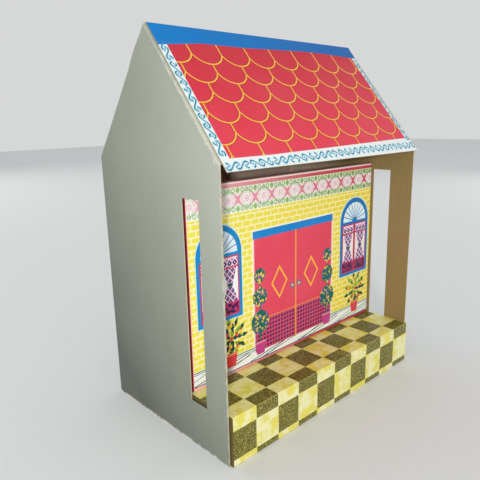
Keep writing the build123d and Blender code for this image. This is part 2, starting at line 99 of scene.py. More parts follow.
WHITE_PRINT = colour(238, 241, 238)
print("white print", [round(c, 3) for c in WHITE_PRINT])

# %% [markdown]
# Patterns are sums, and a tree of Math nodes is hard to read. A small class that wraps
# a socket lets a pattern be written as an expression, and each operator adds its node.
# Masks run from 0 to 1, so "both" is the smaller and "either" the larger of two.


# %% Arithmetic on sockets
class Value:
    """A shader socket that takes part in arithmetic."""

    def __init__(self, paint, socket):
        self.paint = paint
        self.socket = socket

    def math(self, operation, *others):
        return self.paint.node("ShaderNodeMath", {"operation": operation}, [self, *others])

    def __add__(self, other):
        return self.math("ADD", other)

    __radd__ = __add__

    def __sub__(self, other):
        return self.math("SUBTRACT", other)

    def __rsub__(self, other):
        return self.math("MULTIPLY_ADD", -1.0, other)

    def __mul__(self, other):
        return self.math("MULTIPLY", other)

    __rmul__ = __mul__

    def __truediv__(self, other):
        return self.math("DIVIDE", other)

    def __mod__(self, other):
        return self.math("FLOORED_MODULO", other)

    def __pow__(self, other):
        return self.math("POWER", other)

    def __abs__(self):
        return self.math("ABSOLUTE")

    def __lt__(self, other):
        return self.math("LESS_THAN", other)

    def __gt__(self, other):
        return self.math("GREATER_THAN", other)

    def __and__(self, other):
        return self.math("MINIMUM", other)

    def __or__(self, other):
        return self.math("MAXIMUM", other)

    def __invert__(self):
        return 1.0 - self

    def wave(self):
        return self.math("SINE")

    def whole(self):
        return self.math("FLOOR")

    def rise(self, low, high):
        """0 below low, 1 above high and a straight ramp between them."""
        return self.paint.node("ShaderNodeMapRange", {"clamp": True}, [self, low, high, 0.0, 1.0])


def reach(across, along):
    """Distance from the point where both coordinates are 0."""
    return (across * across + along * along) ** 0.5


def nearest(along, pitch, first=0.0):
    """Signed distance to the nearest of marks that repeat every pitch."""
    return (along - (first - pitch / 2)) % pitch - pitch / 2


def stroke(distance, half, soft=0.2):
    """1 on a line, from the distance to its middle and half its width."""
    return abs(distance).rise(half + soft, half - soft)


# %% [markdown]
# One finish is one material. Its helper keeps the node tree and offers the few nodes
# that every finish needs: a place in millimetres, noise, a mix of two colours and a
# bump. Constants go straight on the shader's own sockets.


# %% A finish
MIX_SHARE, MIX_LOW, MIX_HIGH = 0, 6, 7       # a colour Mix node's sockets
MIX_RESULT = 2


class Paint:
    """A material whose pattern is written as expressions."""

    def __init__(self, name, **constants):
        self.material = bpy.data.materials.new(name)
        self.material.use_nodes = True
        self.tree = self.material.node_tree
        self.shader = self.tree.nodes["Principled BSDF"]
        for socket, value in constants.items():
            self.shader.inputs[socket.replace("_", " ")].default_value = value
        self.spot = self.node("ShaderNodeTexCoord", output="Object")
        parts = self.node("ShaderNodeSeparateXYZ", inputs=[self.spot]).socket.node.outputs
        self.x, self.y, self.z = (Value(self, part) * MM for part in parts)

    def node(self, kind, settings=None, inputs=(), output=0):
        made = self.tree.nodes.new(kind)
        for key, value in (settings or {}).items():
            setattr(made, key, value)
        for key, value in inputs.items() if isinstance(inputs, dict) else enumerate(inputs):
            self.feed(made.inputs[key], value)
        return Value(self, made.outputs[output])

    def feed(self, socket, value):
        if isinstance(value, Value):
            self.tree.links.new(value.socket, socket)
        elif socket.type == "RGBA":
            socket.default_value = (*value, 1.0)
        else:
            socket.default_value = value

    def mix(self, share, low, high):
        sockets = {MIX_SHARE: share, MIX_LOW: low, MIX_HIGH: high}
        return self.node("ShaderNodeMix", {"data_type": "RGBA"}, sockets, MIX_RESULT)

    def noise(self, grain, detail=2.0, stretch=(1, 1, 1)):
        """Noise whose lumps are about grain millimetres across."""
        spot = self.node("ShaderNodeVectorMath", {"operation": "MULTIPLY"}, [self.spot, stretch])
        sizes = {"Vector": spot, "Scale": MM / grain, "Detail": detail}
        return self.node("ShaderNodeTexNoise", inputs=sizes)

    def facing(self):
        """Direction that the surface faces, as three values."""
        normal = self.node("ShaderNodeNewGeometry", output="Normal")
        parts = self.node("ShaderNodeSeparateXYZ", inputs=[normal]).socket.node.outputs
        return [Value(self, part) for part in parts]

    def look(self, base, rough=None, height=None, depth=0.2):
        """Feed the shader: base colour, roughness, and a bump depth millimetres deep."""
        self.feed(self.shader.inputs["Base Color"], base)
        if rough is not None:
            self.feed(self.shader.inputs["Roughness"], rough)
        if height is not None:
            sizes = {"Height": height, "Strength": 1.0, "Distance": depth / MM}
            bump = self.node("ShaderNodeBump", inputs=sizes)
            self.feed(self.shader.inputs["Normal"], bump)
        return self

    def on(self, *names):
        for name in names:
            nodes[name].data.materials.clear()
            nodes[name].data.materials.append(self.material)
        print(self.material.name, "on", ", ".join(names))


# %% [markdown]
# Print on glossy paper is nearly flat colour, but never quite. The ink is a little
# uneven, the gloss picks up faint waves of the card below, and each field is slightly
# paler where it was handled. This helper lays those three over any pattern.

# %% Print on glossy paper
GLOSS = {"Roughness": 0.3, "Specular_IOR_Level": 0.12}
INK_CLOUD = 35.0
INK_SPECK = 0.7
GLOSS_PATCH = 22.0
PAPER_WAVE = 60.0
PAPER_TOOTH = 1.2
WAVE_DEPTH = 0.8


def printed(paint, base, worn=0.04):
    """Finish a printed pattern: uneven ink, faint waves and a soft gloss."""
    uneven = paint.noise(INK_CLOUD, 3.0).rise(0.35, 0.75) * worn
    speckle = paint.noise(INK_SPECK, 1.0).rise(0.45, 0.8) * (worn * 0.7)
    base = paint.mix(uneven | speckle, base, WHITE_PRINT)
    rough = 0.27 + 0.12 * paint.noise(GLOSS_PATCH, 2.0)
    waves = paint.noise(PAPER_WAVE, 1.0) + 0.02 * paint.noise(PAPER_TOOTH, 2.0)
    return paint.look(base, rough, waves, WAVE_DEPTH)


# %% [markdown]
# The walls are grey-backed board. Its outside is a cool grey with faint upright
# streaks, painted darker as shade low down and at the back, and painted paler as light
# towards the top and the front. Its inside is brown, with a pale strip of painted light
# above the carton, and the cut edges are paler. Where the flap is folded in along the
# gable's slope the grey surface has broken up and the pale core shows in wrinkles. One
# material does all of it from the surface's place and direction.

# %% Board
walls_low, walls_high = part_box("house_walls")
FRONT_EDGE = walls_low.y * MM
BACK_EDGE = walls_high.y * MM
GABLE_TIP = walls_high.z * MM
RIDGE_PLACE = (FRONT_EDGE + BACK_EDGE) / 2
EAVE = 273.0
SLOPE_RUN = RIDGE_PLACE - FRONT_EDGE
SLOPE_RISE = GABLE_TIP - EAVE
SLOPE = math.hypot(SLOPE_RUN, SLOPE_RISE)
RUN_SHARE = SLOPE_RUN / SLOPE
RISE_SHARE = SLOPE_RISE / SLOPE
HALF_WIDTH = walls_high.x * MM
LIT_HEIGHT = 270.0        # painted light makes the walls paler up to here
HEIGHT_SHARE = 0.62          # how much height counts, beside depth
FOOT_HEIGHT = 90.0           # and painted shade darkens them below here
FOOT_SHADE = 40.0
PATCH_SHADE = 40.0
# Painted shade and painted light: levels of the most shaded, the plain and the most lit grey.
MOST_SHADED, PLAIN, MOST_LIT = -75.0, 139.0, 305.0
LIT_STRIP_FOOT, LIT_STRIP_TOP = 215.0, 275.0         # painted light on the inside strip above the carton
LIT_STRIP_DEPTH = 70.0
FLAP_CREASE = 7.0            # width of the rippled stretch along the slope
print("slope", round(SLOPE, 1), "ridge at", round(RIDGE_PLACE, 1))

GREY_BOARD = colour(145, 151, 136)
SHADED_BOARD = colour(92, 95, 88)
LIT_BOARD = colour(184, 187, 176)
BROWN_BOARD = colour(145, 123, 78)
CORE = colour(222, 219, 198)


def board(name):
    """Grey and brown faces of the board, each with its own grain."""
    paint = Paint(name, Roughness=0.62, Specular_IOR_Level=0.3)
    streaks = paint.noise(5.0, 3.0, (1, 1, 0.05)).rise(0.3, 0.8)
    clouds = paint.noise(90.0, 3.0).rise(0.3, 0.75)
    grey = paint.mix(streaks * 0.4, GREY_BOARD, colour(157, 163, 148))
    grey = paint.mix(clouds * 0.4, grey, colour(132, 137, 125))
    fibres = paint.noise(3.0, 3.0, (1, 1, 0.4)).rise(0.35, 0.75)
    brown = paint.mix(fibres * 0.3, BROWN_BOARD, colour(120, 98, 58))
    brown = paint.mix(clouds * 0.3, brown, colour(159, 135, 88))
    return paint, grey, brown


walls, grey, brown = board("grey board walls")
face_x, face_y, face_z = walls.facing()
on_gable = abs(face_x) > 0.5
on_left = face_x < -0.5
# Painted light and shade: the grey is painted paler towards the top and the front, and darker low
# down, at the foot and at the back, most of all on the left wall.
patches = (walls.noise(60.0, 3.0) - 0.5) * PATCH_SHADE
light_level = (walls.z & LIT_HEIGHT) * HEIGHT_SHARE - walls.y * on_gable + patches
light_level = light_level - walls.z.rise(FOOT_HEIGHT, 0.0) * FOOT_SHADE
painted_shade = light_level.rise(PLAIN, MOST_SHADED) * (0.35 + 0.6 * on_left)
grey = walls.mix(painted_shade, grey, SHADED_BOARD)
grey = walls.mix(light_level.rise(PLAIN, MOST_LIT), grey, LIT_BOARD)
# Painted light: a pale strip on the brown inside above the carton, under the roof's edge.
strip = walls.z.rise(LIT_STRIP_FOOT, LIT_STRIP_FOOT + 7.0) & walls.z.rise(LIT_STRIP_TOP, LIT_STRIP_TOP - 13.0)
strip = strip & walls.y.rise(0.0, LIT_STRIP_DEPTH)
brown = walls.mix(strip * 0.9, brown, colour(238, 212, 192))
outside = ((face_x * walls.x) > 20.0) | ((face_y > 0.5) & (walls.y > BACK_EDGE - 3.0))
outside = outside | (face_z > 0.4)
drop = GABLE_TIP - walls.z
from_slope = drop * RUN_SHARE - abs(walls.y - RIDGE_PLACE) * RISE_SHARE
crease = walls.noise(9.0, 5.0, (1, 1.3, 0.7))
in_front = walls.y < RIDGE_PLACE
frayed = (drop * 0.05 * in_front + 0.3) * crease.rise(0.4, 0.72)
worn = (from_slope - frayed).rise(1.2, -0.8) * walls.noise(2.5, 4.0).rise(0.25, 0.6)
worn = (worn * 0.75) | (from_slope.rise(1.0, 0.3) * drop.rise(30.0, 70.0) * 0.7)
scuffed = (walls.y - FRONT_EDGE).rise(1.6, 0.4) & walls.noise(8.0, 4.0).rise(0.42, 0.6)
scuffed = scuffed | (walls.z.rise(2.2, 0.4) & walls.noise(5.0, 4.0).rise(0.42, 0.6))
skin = walls.mix(((worn * 0.8) | (scuffed * 0.6)) & outside, grey, CORE)
skin = walls.mix(outside, brown, skin)
cut_edge = abs(face_y).rise(0.9, 0.99) & (abs(walls.x) > HALF_WIDTH - 1.2)
cut_edge = cut_edge & (walls.y < BACK_EDGE - 5.0)
skin = walls.mix(cut_edge * 0.8, skin, colour(196, 188, 156))
ripples = from_slope.rise(FLAP_CREASE, 0.0) * crease * 1.4 + walls.noise(2.0, 3.0) * 0.05
walls.look(skin, 0.55 + 0.2 * crease, ripples + walls.noise(80.0, 1.0) * 0.8, depth=0.9)
walls.on("house_walls")

roof, grey, brown = board("grey board roof")
face_x, face_y, face_z = roof.facing()
skin = roof.mix(face_z > 0.3, brown, grey)
skin = roof.mix(abs(face_x).rise(0.9, 0.99) * 0.8, skin, colour(150, 142, 116))
ripples = roof.noise(80.0, 1.0) + roof.noise(2.0, 3.0) * 0.06
roof.look(skin, 0.6 + 0.15 * roof.noise(5.0), ripples, 0.8)
roof.on("roof_card")

# %% [markdown]
# The sheet on the roof is measured from its lower left corner: across, and up the
# slope. Its borders carry a running scroll in teal with a pale halo. Each length of
# scroll has two rising strokes that end in hooks round small eyes, and every second
# length is turned upside down. The sheet was cut and stuck by hand, so the band along
# the ridge and the white border at the eave aren't quite as wide everywhere.

# %% Roof print
sheet_low, sheet_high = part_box("roof_sheet")
SHEET_LEFT = sheet_low.x * MM
SHEET_WIDTH = (sheet_high.x - sheet_low.x) * MM
BORDER_EAVE = 15.0
BORDER_SIDE = 9.5
FIELD_FOOT = 12.5            # red starts here at the left
FOOT_RISE = 5.6              # and this much higher at the right
FIELD_HEAD = 134.2           # blue starts here at the left
SCROLL_LENGTH = 28.0
CURL_FIRST = 3.4             # start of a length to its first curl
CURL_STEP = 10.6
CURL_HALF = 2.3
SCROLL_LINE = 0.7            # half the width of a stroke
NOWHERE = 100.0              # a distance that no stroke reaches
SCROLL_TEAL = colour(0, 110, 140)
SCROLL_HALO = colour(166, 226, 240)


def roof_place(paint):
    """Across and up the roof sheet, in millimetres from its lower left corner."""
    across = paint.x - SHEET_LEFT
    run = paint.y - sheet_low.y * MM
    rise = paint.z - sheet_low.z * MM
    return across, run * RUN_SHARE + rise * RISE_SHARE


def scroll(along, aside, swing):
    """Masks of a running scroll along a middle line: its strokes and its halo."""
    turned = (along / SCROLL_LENGTH).whole() % 2
    side = aside * (1.0 - 2.0 * turned)
    spot = along % SCROLL_LENGTH
    offset = nearest(spot, CURL_STEP, CURL_FIRST)
    curl = reach(offset * (swing / CURL_HALF), side)
    hook = abs(curl - swing) + NOWHERE * (offset * side < 0.0)
    rising = ((spot - CURL_FIRST) % CURL_STEP) * (math.pi / CURL_STEP) - math.pi / 2
    link = abs(side - rising.wave() * swing)
    beyond = abs(spot - SCROLL_LENGTH / 2) - (SCROLL_LENGTH / 2 - CURL_FIRST)
    distance = hook & (link | beyond) & reach(offset, side)
    halo = stroke(distance, 1.6, 0.8) | stroke(curl, swing * 0.5, 0.6)
    return stroke(distance, SCROLL_LINE, 0.25), halo


def roof_ink(paint, field, border=WHITE_PRINT):
    """The field's colour, with the border below and beside it and blue above it."""
    across, climb = roof_place(paint)
    foot = across.rise(60.0, 280.0) * FOOT_RISE + FIELD_FOOT
    bow = across.rise(0.0, 50.0) * 6.4 + across.rise(105.0, 195.0) * 3.8
    head = bow - across.rise(235.0, 290.0) * 2.4 + FIELD_HEAD
    in_border = (climb < foot) | (across < BORDER_SIDE) | (across > SHEET_WIDTH - BORDER_SIDE)
    blue = paint.mix(across.rise(0.0, SHEET_WIDTH), colour(0, 124, 198), colour(0, 98, 172))
    return paint.mix(climb > head, paint.mix(in_border, field, border), blue)


# %% [markdown]
# Each tile has a round lower edge with an upright joint below its tip, and every
# second row is shifted by half a tile. Above the first row there are joints alone. The
# distance to the nearest outline gives the print its thin brown edges, on the yellow
# line and on the red beside it.

# %% Roof tiles
TILE_PITCH = 36.1
TILE_ROW = 22.3
TILE_DIP = 12.0
TILE_RADIUS = (TILE_PITCH ** 2 / 4 + TILE_DIP ** 2) / (2 * TILE_DIP)
FIRST_JOINT = 31.5
FIRST_TIP = 45.5
SHEET_LENGTH = math.hypot(sheet_high.y - sheet_low.y, sheet_high.z - sheet_low.z) * MM
LINE_HALF = 0.8              # half the width of an outline
TILE_EDGE = colour(150, 56, 34)
print("tile radius", round(TILE_RADIUS, 2), "sheet length", round(SHEET_LENGTH, 1))


def from_outline(paint):
    """Distance to the middle of the nearest tile outline."""
    across, climb = roof_place(paint)
    below = SHEET_LENGTH - FIRST_TIP + TILE_DIP - climb
    row = (below / TILE_ROW).whole()
    below = below % TILE_ROW
    shifted = row % 2 * (TILE_PITCH / 2)
    first_row = row > -0.5
    from_tip = nearest(across + shifted, TILE_PITCH, FIRST_JOINT + TILE_PITCH / 2)
    edge = abs(reach(from_tip, below + (TILE_RADIUS - TILE_DIP)) - TILE_RADIUS)
    edge = edge + NOWHERE * ~first_row
    return edge & (abs(from_tip) + NOWHERE * (first_row & (below < TILE_DIP)))


def tile_ink(paint):
    """Red of the tiles, brown beside their outlines."""
    across, climb = roof_place(paint)
    red = paint.mix(climb.rise(140.0, 10.0), colour(204, 42, 58), colour(231, 64, 84))
    beside = from_outline(paint).rise(LINE_HALF + 1.0, LINE_HALF + 0.2)
    return paint.mix(beside * 0.75, red, TILE_EDGE)


def outline_ink(paint):
    """Yellow of the outlines, brown along their edges."""
    at_edge = from_outline(paint).rise(0.55, LINE_HALF)
    return paint.mix(at_edge * 0.5, colour(255, 184, 76), TILE_EDGE)


def tile_print(paint):
    """Tiles and outlines together, where no field of their own lies over them."""
    outline = stroke(from_outline(paint), LINE_HALF, 0.1)
    return paint.mix(outline, tile_ink(paint), outline_ink(paint))


def roof_print(name, field, worn, node):
    """A finish of one of the roof's fields."""
    paint = Paint(name, **GLOSS)
    printed(paint, roof_ink(paint, field(paint)), worn).on(node)


roof_print("tile red", tile_ink, 0.02, "roof_tile_field")
roof_print("tile outline", outline_ink, 0.02, "roof_tile_lines")
roof_print("ridge blue", tile_print, 0.0, "roof_ridge_band")

# %% [markdown]
# The sheet itself shows in its borders, where the scrolls run, and in slivers beside
# the fields of print. There it repeats the tiles, so that no bare paper shows.

# %% Roof paper
EAVE_SWING, LEFT_SWING, RIGHT_SWING = 3.3, 2.9, 2.4
EAVE_MIDDLE, LEFT_MIDDLE, RIGHT_MIDDLE = 4.8, 4.9, 5.2
EAVE_RISE = 3.4              # the eave's scroll climbs this much to the right
SIDE_START = 4.0

roof_paper = Paint("roof paper", **GLOSS)
across, climb = roof_place(roof_paper)
right_across = SHEET_WIDTH - across
above_eave_scroll = climb - across.rise(0.0, 200.0) * EAVE_RISE - EAVE_MIDDLE
side_climb = climb - SIDE_START
at_eave = climb < BORDER_EAVE
at_left = (across < BORDER_SIDE) & ~at_eave
at_right = (right_across < BORDER_SIDE) & ~at_eave
eave_line, eave_halo = scroll(across, above_eave_scroll, EAVE_SWING)
left_line, left_halo = scroll(side_climb, across - LEFT_MIDDLE, LEFT_SWING)
right_line, right_halo = scroll(side_climb, right_across - RIGHT_MIDDLE, RIGHT_SWING)
line = (at_eave & eave_line) | (at_left & left_line) | (at_right & right_line)
halo = (at_eave & eave_halo) | (at_left & left_halo) | (at_right & right_halo)
border = roof_paper.mix(halo * 0.85, WHITE_PRINT, SCROLL_HALO)
border = roof_paper.mix(line, border, SCROLL_TEAL)
printed(roof_paper, roof_ink(roof_paper, tile_print(roof_paper), border)).on("roof_sheet")

# %% [markdown]
# The facade's print is measured from the board's lower left corner too. Each colour
# is a field of its own, and the finer ornament on it is worked out here. Left and
# right halves mirror each other about the middle of the door.

# %% Facade places
board_low, board_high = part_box("facade_board")
FACADE_LEFT = board_low.x * MM
FACADE_FOOT = board_low.z * MM
FACADE_WIDTH = (board_high.x - board_low.x) * MM
DRAWING_CENTRE = 150.0
STEP_TOP = 19.4
WINDOW_OFFSET = 112.0
WINDOW_HALF = 29.0
WINDOW_FOOT = 62.0
WINDOW_SPRING = 131.0
FAN_RADIUS = 23.4
CASEMENT_HALF = 12.7
GLASS_MIDDLE = 97.9
DOOR_HALF = 66.6
LINTEL_TOP = 146.2
DOOR_SIDE = 75.0             # what stands nearer to the middle stands by the door
FRIEZE_MIDDLE = 182.0
FRIEZE_PITCH = 24.0
FIRST_ROSETTE = 4.0
print("facade from", round(FACADE_LEFT, 1), "wide", round(FACADE_WIDTH, 1))


class Facade(Paint):
    """A finish of the facade's print, with its places in millimetres."""

    def __init__(self, name):
        super().__init__(name, **GLOSS)
        self.across = self.x - FACADE_LEFT
        self.height = self.z - FACADE_FOOT
        self.aside = abs(self.across - DRAWING_CENTRE)
        self.from_window = self.aside - WINDOW_OFFSET
        self.in_casement = abs(self.from_window) - CASEMENT_HALF
        # Painted glare: its share runs from the left to the right of the facade.
        self.glare_share = self.across.rise(20.0, 290.0)

    def painted_glare(self, left, right):
        """A colour with a painted glare, paler at the left, where the light falls on the paper.
        """
        return self.mix(self.glare_share, left, right)

    def diamonds(self, pitch, radius, across=None, first=0.0):
        """A field of diamonds in rows, each row shifted by half a pitch."""
        across = self.in_casement if across is None else across
        height = self.height - first
        half = pitch / 2
        even = abs(nearest(across, pitch)) + abs(nearest(height, pitch))
        odd = abs(nearest(across, pitch, half)) + abs(nearest(height, pitch, half))
        return (even & odd).rise(radius + 0.3, radius - 0.3)

    def finish(self, base, *names, worn=0.03):
        printed(self, base, worn).on(*names)


def flat_print(name, left, right, *names):
    """A field of one printed colour, with a painted glare that makes it paler at the left."""
    field = Facade(name)
    field.finish(field.painted_glare(left, right), *names)


# %% [markdown]
# Board, paper and brickwork. The paper between the bricks is pale yellow, turns white
# on the step at the foot and pale blue in a thin halo round the windows and the door.

# %% Carton, mortar and bricks
CARTON_EDGE = 198.0          # its front folds back into its top here
HALO = 1.5                   # pale line round windows and door
LONG_SLANT, LONG_PITCH = 0.15, 77.0          # slanted lines on the step
STEEP_SLANT, STEEP_PITCH = 0.26, 61.0

carton = Facade("red carton")
face_x, face_y, face_z = carton.facing()
# Painted glare: the red is paler pink towards the left.
red = carton.mix(carton.across.rise(0.0, 190.0), colour(250, 186, 190), colour(206, 66, 82))
# Painted highlight: a pale line where the front folds into the top.
lit_fold_line = carton.height.rise(CARTON_EDGE - 0.2, CARTON_EDGE + 0.3)
red = carton.mix(lit_fold_line, red, colour(255, 232, 224))
# Painted light: the top face is paler.
red = carton.mix(face_z > 0.5, red, colour(252, 206, 206))
# Painted shade: the side faces are dark red.
red = carton.mix(abs(face_x) > 0.5, red, colour(150, 32, 44))
carton.finish(red, "facade_board")

mortar = Facade("mortar print")
arch = reach(mortar.from_window, (mortar.height - WINDOW_SPRING) | 0.0) - WINDOW_HALF
window = arch | (WINDOW_FOOT - mortar.height)
door = (mortar.aside - DOOR_HALF) | (mortar.height - LINTEL_TOP)
ink = mortar.painted_glare(colour(253, 248, 190), colour(250, 238, 150))
ink = mortar.mix(door < HALO, ink, colour(250, 244, 214))
ink = mortar.mix(window < HALO, ink, colour(204, 234, 240))
slant = mortar.height - 4.6 - (mortar.across % LONG_PITCH) * LONG_SLANT
steeper = mortar.height - 2.0 - ((mortar.across + 30.0) % STEEP_PITCH) * STEEP_SLANT
slanted = stroke(slant, 0.5) | stroke(slant + 3.2, 0.4) | stroke(steeper, 0.35)
step = mortar.mix(slanted, colour(246, 247, 240), colour(24, 80, 72))
ink = mortar.mix(mortar.height < STEP_TOP, ink, step)
mortar.finish(ink, "facade_sheet")

bricks = Facade("brick yellow")
patchy = bricks.noise(16.0, 2.0).rise(0.35, 0.7)
ink = bricks.painted_glare(colour(246, 232, 84), colour(234, 208, 62))
bricks.finish(bricks.mix(patchy * 0.3, ink, colour(238, 222, 90)), "facade_bricks")

step_lines = Facade("step lines")
thin = stroke(step_lines.height - 18.7, 0.5) | stroke(step_lines.height - 16.6, 0.3)
dark = thin | (step_lines.height < 10.0)
ink = step_lines.mix(dark, colour(232, 240, 232), colour(24, 96, 100))
step_lines.finish(ink, "facade_step_lines")

# %% [markdown]
# The frieze has a row of rosettes in fine rings between pink four-armed stars, and
# strips of green curls and leaves above and below. Chevrons follow the stars' edges and
# run on over the rosettes' fields, so one function places them for both finishes.

# %% Frieze
BAND_HALF = 5.9              # from the frieze's middle to its green strips
STRIP_MIDDLE = 9.25
STAR_WAIST = 2.2
STAR_SPREAD = 0.58           # how fast its arms spread
CHEVRON = 2.6                # beyond the star's edge
FIRST_STAR = FIRST_ROSETTE + FRIEZE_PITCH / 2
CURL_PITCH = 6.0
CURL_RADIUS = 1.9
RING_STEP = 1.8
ROSETTE_HEART = 5.1


def star_places(paint):
    """Distance above the frieze's middle, beside a star's middle and beyond its edge."""
    from_middle = paint.height - FRIEZE_MIDDLE
    from_star = abs(nearest(paint.across, FRIEZE_PITCH, FIRST_STAR))
    return from_middle, from_star, from_star - abs(from_middle) * STAR_SPREAD - STAR_WAIST


def chevrons(past_star):
    return stroke(past_star - CHEVRON, 0.35)


frieze = Facade("frieze ground")
from_middle, from_star, past_star = star_places(frieze)
from_rosette = abs(nearest(frieze.across, FRIEZE_PITCH, FIRST_ROSETTE))
aside = abs(from_middle)
in_band = aside < BAND_HALF - 0.3
star = past_star.rise(0.2, -0.1) & (aside - from_star * 0.6).rise(3.3, 3.0)
lace = frieze.diamonds(2.4, 0.45, frieze.across) & in_band
from_curl = reach(nearest(frieze.across, CURL_PITCH, FIRST_ROSETTE), aside - STRIP_MIDDLE)
curl = stroke(abs(from_curl - CURL_RADIUS), 0.6, 0.3) & (aside > BAND_HALF + 0.3)
tent = stroke(aside + from_rosette * 0.6 - 9.6, 0.4) & (aside > BAND_HALF - 0.5)
rule = stroke(aside - BAND_HALF, 0.3)
ground = frieze.painted_glare(colour(252, 250, 242), colour(242, 236, 228))
strip = frieze.painted_glare(colour(244, 249, 232), colour(222, 230, 180))
pink = frieze.painted_glare(colour(246, 176, 190), colour(210, 76, 96))
green = frieze.painted_glare(colour(176, 206, 156), colour(104, 148, 88))
dark_green = frieze.painted_glare(colour(140, 164, 128), colour(72, 98, 60))
ink = frieze.mix(aside > BAND_HALF, ground, strip)
ink = frieze.mix(lace * 0.6, ink, colour(214, 170, 190))
ink = frieze.mix((chevrons(past_star) & in_band) | star, ink, pink)
ink = frieze.mix(curl, ink, green)
ink = frieze.mix(tent, ink, dark_green)
frieze.finish(frieze.mix(rule * 0.5, ink, green), "facade_frieze")

flat_print("frieze leaves", colour(166, 204, 124), colour(96, 146, 66), "facade_frieze_edges")
flat_print("frieze stars", colour(246, 172, 188), colour(208, 70, 92), "facade_frieze_stars")

rosettes = Facade("rosettes")
from_middle, from_star, past_star = star_places(rosettes)
from_heart = reach(nearest(rosettes.across, FRIEZE_PITCH, FIRST_ROSETTE), from_middle)
rings = stroke(from_heart % RING_STEP - RING_STEP / 2, 0.35)
rings = rings & from_heart.rise(ROSETTE_HEART + 0.1, ROSETTE_HEART - 0.1)
pink = rosettes.painted_glare(colour(238, 172, 190), colour(206, 104, 128))
ink = rosettes.mix(rings | chevrons(past_star), colour(252, 244, 244), pink)
rosettes.finish(ink, "facade_rosettes")

# %% [markdown]
# The windows are blue with red casements. White glass shows beside curtains of lace
# that are drawn in at the waist, and the panels above and below carry diamonds and
# leaves. Spokes in the fanlight are slimmer and greyer than the frame.

# %% Windows
HUB_RADIUS = 5.0
LACE_PITCH = 7.2
LACE_FOOT = 1.2
TRELLIS_PITCH = 3.6
HEAD_PANEL = 120.2           # height of the head panels' middle
MOTIF_PITCH = 6.8

frames = Facade("frame blue")
above_spring = frames.height - WINDOW_SPRING
from_hub = reach(frames.from_window, above_spring)
blue = frames.painted_glare(colour(0, 142, 206), colour(0, 112, 180))
spokes = (from_hub < FAN_RADIUS) & (from_hub > HUB_RADIUS) & (above_spring > 0.0)
rim = stroke(reach(frames.from_window, above_spring | 0.0) - WINDOW_HALF, 0.8)
blue = frames.mix(rim * 0.5, blue, colour(0, 96, 126))
frames.finish(frames.mix(spokes, blue, colour(16, 88, 146)), "facade_window_frames")

panes = Facade("pane white")
in_fan = panes.height > WINDOW_SPRING
glow = reach(panes.from_window, panes.height - WINDOW_SPRING).rise(24.0, 6.0) * in_fan
glass = panes.painted_glare(colour(250, 249, 246), colour(240, 228, 222))
glass = panes.mix(in_fan, glass, colour(232, 244, 247))
panes.finish(panes.mix(glow * 0.6, glass, colour(180, 222, 240)), "facade_window_panes")

sashes = Facade("sash red")
edge = stroke(sashes.in_casement - 12.2, 0.45)
red = sashes.painted_glare(colour(212, 76, 114), colour(182, 42, 74))
sashes.finish(sashes.mix(edge * 0.6, red, colour(120, 70, 120)), "facade_window_sashes")

curtains = Facade("curtain lace")
motif = curtains.diamonds(LACE_PITCH, 2.7, first=LACE_FOOT)
ink = curtains.mix(motif, colour(240, 214, 230), colour(72, 32, 100))
heart = curtains.diamonds(LACE_PITCH, 0.8, first=LACE_FOOT)
ink = curtains.mix(heart, ink, colour(206, 120, 176))
rising = nearest(curtains.in_casement + curtains.height, TRELLIS_PITCH, 3.0)
falling = nearest(curtains.in_casement - curtains.height, TRELLIS_PITCH, 0.6)
trellis = stroke(rising, 0.3) | stroke(falling, 0.3)
ink = curtains.mix(trellis * 0.5, ink, colour(128, 60, 132))
tie = stroke(curtains.height - GLASS_MIDDLE, 1.7)
curtains.finish(curtains.mix(tie, ink, colour(18, 86, 80)), "facade_curtains")

head_panels = Facade("head panels")
half = MOTIF_PITCH / 2
in_panel = abs(head_panels.height - HEAD_PANEL)
from_motif = abs(nearest(head_panels.in_casement, MOTIF_PITCH)) + in_panel
motif = from_motif.rise(3.6, 3.0) * from_motif.rise(0.8, 1.2)
from_between = abs(nearest(head_panels.in_casement, MOTIF_PITCH, half)) + abs(in_panel - half)
between = from_between.rise(1.7, 1.2)
ink = head_panels.mix(motif, colour(242, 212, 228), colour(66, 30, 98))
ink = head_panels.mix(between, ink, colour(176, 80, 150))
head_panels.finish(ink, "facade_window_head_panels")

foot_panels = Facade("foot panels")
leafy = foot_panels.noise(5.0, 2.0, (1, 1, 1.3)).rise(0.46, 0.52)
red = foot_panels.painted_glare(colour(192, 58, 110), colour(150, 38, 80))
foot_panels.finish(foot_panels.mix(leafy, red, colour(58, 18, 78)), "facade_window_foot_panels")

# %% [markdown]
# The door is a large plain red field, so the trim, the dotted grille and the diamonds
# on the leaves carry its drawing. Potted plants stand before it.

# %% Door and plants
GRILLE_PITCH = 4.65
GRILLE_LEFT = 89.55
GRILLE_FOOT = 15.99
GRILLE_TOP = 47.7
DOOR_MARGIN = 64.8           # a pale line runs up the door's edges from here
KNOB_ASIDE, KNOB_HEIGHT = 5.6, 75.0
POT_RIM = 22.4

door = Facade("door red")
behind_grille = door.height < GRILLE_TOP
red = door.painted_glare(colour(236, 74, 98), colour(222, 66, 86))
dot_across = abs(nearest(door.across, GRILLE_PITCH, GRILLE_LEFT))
dot_height = abs(nearest(door.height, GRILLE_PITCH, GRILLE_FOOT))
from_dot = dot_across | dot_height
lattice = door.mix(stroke(from_dot - 2.3, 0.2) * 0.5, colour(214, 58, 98), colour(238, 132, 120))
lattice = door.mix(from_dot.rise(1.6, 1.3), lattice, colour(64, 36, 104))
margin = door.aside.rise(DOOR_MARGIN - 0.2, DOOR_MARGIN + 0.2)
ink = door.mix(behind_grille, red, lattice)
door.finish(door.mix(margin * 0.7, ink, colour(244, 196, 206)), "facade_door")

